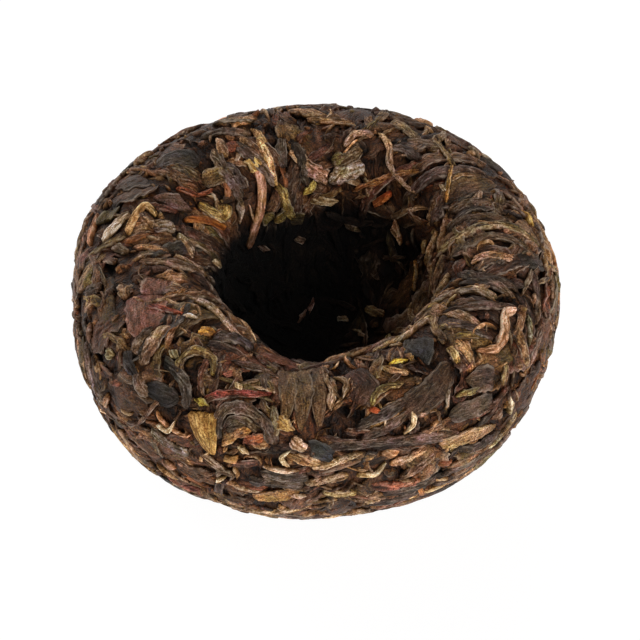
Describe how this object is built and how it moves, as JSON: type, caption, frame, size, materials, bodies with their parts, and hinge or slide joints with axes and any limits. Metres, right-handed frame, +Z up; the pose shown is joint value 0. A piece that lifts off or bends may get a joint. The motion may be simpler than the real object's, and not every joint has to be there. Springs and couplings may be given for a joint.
{
  "type": "raw pu erh tea",
  "caption": "Pressed nest of dried tea leaves: a round, bowl-like block with a domed back and a deep hollow with a thick rounded lip.",
  "frame": {"origin": "middle of the flat foot that the dome rests on", "axes": "+Z up out of the hollow; -Y towards the side that the picture shows at the front; +X to its right"},
  "size_m": [0.0809, 0.0813, 0.0434],
  "materials": {
    "dark_leaf": "dry matt leaf with a faint sheen",
    "olive_leaf": "dry matt leaf",
    "red_brown_leaf": "dry matt leaf",
    "pale_bud": "fine silvery down",
    "stem": "dry woody stem"
  },
  "bodies": {
    "root": {"pressed_tea": "dark_leaf"}
  },
  "joints": []
}
